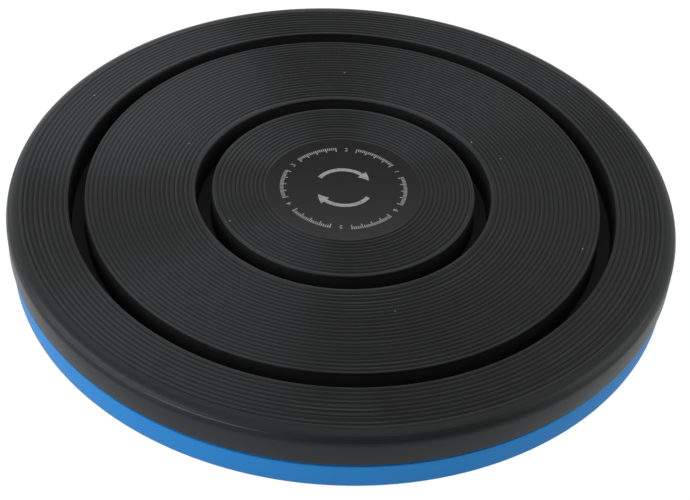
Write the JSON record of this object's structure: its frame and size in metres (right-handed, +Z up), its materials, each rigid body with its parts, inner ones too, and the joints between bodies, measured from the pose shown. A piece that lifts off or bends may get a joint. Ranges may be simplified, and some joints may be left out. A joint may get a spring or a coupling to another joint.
{
  "type": "waist twisting disc",
  "caption": "Round twist board to stand on: a black ribbed tread plate turns on a ring of steel balls over a blue base plate with rubber feet.",
  "frame": {"origin": "centre of the disc on the floor, at the bottom of the feet", "axes": "+Z up along the axis of the twist, +X through the first foot, front of the picture towards -Y"},
  "size_m": [0.25, 0.25, 0.0253],
  "materials": {
    "black_plastic": "moulded ABS, satin, fine ribs in rings on the tread",
    "blue_plastic": "moulded ABS, satin",
    "white_nylon": "moulded nylon, natural",
    "black_rubber": "moulded rubber, matt",
    "ball_steel": "ground and polished bearing steel",
    "zinc_steel": "bright zinc plate",
    "brass": "turned"
  },
  "bodies": {
    "base": {"base_plate": "blue_plastic", "foot_1": "black_rubber", "foot_2": "black_rubber", "foot_3": "black_rubber", "foot_4": "black_rubber", "foot_5": "black_rubber", "foot_6": "black_rubber", "pivot_bush": "white_nylon"},
    "turntable": {"top_plate": "black_plastic", "threaded_insert": "brass", "centre_screw": "zinc_steel", "lock_washer": "zinc_steel", "flat_washer": "zinc_steel"},
    "cage": {"ball_cage": "white_nylon"},
    "ball_01": {"ball_01": "ball_steel"},
    "ball_02": {"ball_02": "ball_steel"},
    "ball_03": {"ball_03": "ball_steel"},
    "ball_04": {"ball_04": "ball_steel"},
    "ball_05": {"ball_05": "ball_steel"},
    "ball_06": {"ball_06": "ball_steel"},
    "ball_07": {"ball_07": "ball_steel"},
    "ball_08": {"ball_08": "ball_steel"},
    "ball_09": {"ball_09": "ball_steel"},
    "ball_10": {"ball_10": "ball_steel"},
    "ball_11": {"ball_11": "ball_steel"},
    "ball_12": {"ball_12": "ball_steel"},
    "ball_13": {"ball_13": "ball_steel"},
    "ball_14": {"ball_14": "ball_steel"},
    "ball_15": {"ball_15": "ball_steel"},
    "ball_16": {"ball_16": "ball_steel"},
    "ball_17": {"ball_17": "ball_steel"},
    "ball_18": {"ball_18": "ball_steel"},
    "ball_19": {"ball_19": "ball_steel"},
    "ball_20": {"ball_20": "ball_steel"},
    "ball_21": {"ball_21": "ball_steel"},
    "ball_22": {"ball_22": "ball_steel"},
    "ball_23": {"ball_23": "ball_steel"},
    "ball_24": {"ball_24": "ball_steel"}
  },
  "joints": [
    {"name": "top_twist", "type": "hinge", "parent": "base", "child": "turntable", "pos_m": [0, 0, 0.0086], "axis": [0, 0, 1], "continuous": true},
    {"name": "cage_orbit", "type": "hinge", "parent": "base", "child": "cage", "pos_m": [0, 0, 0.0086], "axis": [0, 0, 1], "continuous": true},
    {"name": "ball_01_roll", "type": "hinge", "parent": "cage", "child": "ball_01", "pos_m": [0.0993, 0, 0.0086], "axis": [1, 0, 0], "continuous": true},
    {"name": "ball_02_roll", "type": "hinge", "parent": "cage", "child": "ball_02", "pos_m": [0.09592, 0.0257, 0.0086], "axis": [0.9659, 0.2588, 0], "continuous": true},
    {"name": "ball_03_roll", "type": "hinge", "parent": "cage", "child": "ball_03", "pos_m": [0.086, 0.04965, 0.0086], "axis": [0.866, 0.5, 0], "continuous": true},
    {"name": "ball_04_roll", "type": "hinge", "parent": "cage", "child": "ball_04", "pos_m": [0.07022, 0.07022, 0.0086], "axis": [0.7071, 0.7071, 0], "continuous": true},
    {"name": "ball_05_roll", "type": "hinge", "parent": "cage", "child": "ball_05", "pos_m": [0.04965, 0.086, 0.0086], "axis": [0.5, 0.866, 0], "continuous": true},
    {"name": "ball_06_roll", "type": "hinge", "parent": "cage", "child": "ball_06", "pos_m": [0.0257, 0.09592, 0.0086], "axis": [0.2588, 0.9659, 0], "continuous": true},
    {"name": "ball_07_roll", "type": "hinge", "parent": "cage", "child": "ball_07", "pos_m": [0, 0.0993, 0.0086], "axis": [0, 1, 0], "continuous": true},
    {"name": "ball_08_roll", "type": "hinge", "parent": "cage", "child": "ball_08", "pos_m": [-0.0257, 0.09592, 0.0086], "axis": [-0.2588, 0.9659, 0], "continuous": true},
    {"name": "ball_09_roll", "type": "hinge", "parent": "cage", "child": "ball_09", "pos_m": [-0.04965, 0.086, 0.0086], "axis": [-0.5, 0.866, 0], "continuous": true},
    {"name": "ball_10_roll", "type": "hinge", "parent": "cage", "child": "ball_10", "pos_m": [-0.07022, 0.07022, 0.0086], "axis": [-0.7071, 0.7071, 0], "continuous": true},
    {"name": "ball_11_roll", "type": "hinge", "parent": "cage", "child": "ball_11", "pos_m": [-0.086, 0.04965, 0.0086], "axis": [-0.866, 0.5, 0], "continuous": true},
    {"name": "ball_12_roll", "type": "hinge", "parent": "cage", "child": "ball_12", "pos_m": [-0.09592, 0.0257, 0.0086], "axis": [-0.9659, 0.2588, 0], "continuous": true},
    {"name": "ball_13_roll", "type": "hinge", "parent": "cage", "child": "ball_13", "pos_m": [-0.0993, 0, 0.0086], "axis": [-1, 0, 0], "continuous": true},
    {"name": "ball_14_roll", "type": "hinge", "parent": "cage", "child": "ball_14", "pos_m": [-0.09592, -0.0257, 0.0086], "axis": [-0.9659, -0.2588, 0], "continuous": true},
    {"name": "ball_15_roll", "type": "hinge", "parent": "cage", "child": "ball_15", "pos_m": [-0.086, -0.04965, 0.0086], "axis": [-0.866, -0.5, 0], "continuous": true},
    {"name": "ball_16_roll", "type": "hinge", "parent": "cage", "child": "ball_16", "pos_m": [-0.07022, -0.07022, 0.0086], "axis": [-0.7071, -0.7071, 0], "continuous": true},
    {"name": "ball_17_roll", "type": "hinge", "parent": "cage", "child": "ball_17", "pos_m": [-0.04965, -0.086, 0.0086], "axis": [-0.5, -0.866, 0], "continuous": true},
    {"name": "ball_18_roll", "type": "hinge", "parent": "cage", "child": "ball_18", "pos_m": [-0.0257, -0.09592, 0.0086], "axis": [-0.2588, -0.9659, 0], "continuous": true},
    {"name": "ball_19_roll", "type": "hinge", "parent": "cage", "child": "ball_19", "pos_m": [0, -0.0993, 0.0086], "axis": [0, -1, 0], "continuous": true},
    {"name": "ball_20_roll", "type": "hinge", "parent": "cage", "child": "ball_20", "pos_m": [0.0257, -0.09592, 0.0086], "axis": [0.2588, -0.9659, 0], "continuous": true},
    {"name": "ball_21_roll", "type": "hinge", "parent": "cage", "child": "ball_21", "pos_m": [0.04965, -0.086, 0.0086], "axis": [0.5, -0.866, 0], "continuous": true},
    {"name": "ball_22_roll", "type": "hinge", "parent": "cage", "child": "ball_22", "pos_m": [0.07022, -0.07022, 0.0086], "axis": [0.7071, -0.7071, 0], "continuous": true},
    {"name": "ball_23_roll", "type": "hinge", "parent": "cage", "child": "ball_23", "pos_m": [0.086, -0.04965, 0.0086], "axis": [0.866, -0.5, 0], "continuous": true},
    {"name": "ball_24_roll", "type": "hinge", "parent": "cage", "child": "ball_24", "pos_m": [0.09592, -0.0257, 0.0086], "axis": [0.9659, -0.2588, 0], "continuous": true}
  ],
  "couplings": [
    {"joint": "cage_orbit", "follows": "top_twist", "ratio": 0.5},
    {"joint": "ball_01_roll", "follows": "top_twist", "ratio": -16.55},
    {"joint": "ball_02_roll", "follows": "top_twist", "ratio": -16.55},
    {"joint": "ball_03_roll", "follows": "top_twist", "ratio": -16.55},
    {"joint": "ball_04_roll", "follows": "top_twist", "ratio": -16.55},
    {"joint": "ball_05_roll", "follows": "top_twist", "ratio": -16.55},
    {"joint": "ball_06_roll", "follows": "top_twist", "ratio": -16.55},
    {"joint": "ball_07_roll", "follows": "top_twist", "ratio": -16.55},
    {"joint": "ball_08_roll", "follows": "top_twist", "ratio": -16.55},
    {"joint": "ball_09_roll", "follows": "top_twist", "ratio": -16.55},
    {"joint": "ball_10_roll", "follows": "top_twist", "ratio": -16.55},
    {"joint": "ball_11_roll", "follows": "top_twist", "ratio": -16.55},
    {"joint": "ball_12_roll", "follows": "top_twist", "ratio": -16.55},
    {"joint": "ball_13_roll", "follows": "top_twist", "ratio": -16.55},
    {"joint": "ball_14_roll", "follows": "top_twist", "ratio": -16.55},
    {"joint": "ball_15_roll", "follows": "top_twist", "ratio": -16.55},
    {"joint": "ball_16_roll", "follows": "top_twist", "ratio": -16.55},
    {"joint": "ball_17_roll", "follows": "top_twist", "ratio": -16.55},
    {"joint": "ball_18_roll", "follows": "top_twist", "ratio": -16.55},
    {"joint": "ball_19_roll", "follows": "top_twist", "ratio": -16.55},
    {"joint": "ball_20_roll", "follows": "top_twist", "ratio": -16.55},
    {"joint": "ball_21_roll", "follows": "top_twist", "ratio": -16.55},
    {"joint": "ball_22_roll", "follows": "top_twist", "ratio": -16.55},
    {"joint": "ball_23_roll", "follows": "top_twist", "ratio": -16.55},
    {"joint": "ball_24_roll", "follows": "top_twist", "ratio": -16.55}
  ]
}
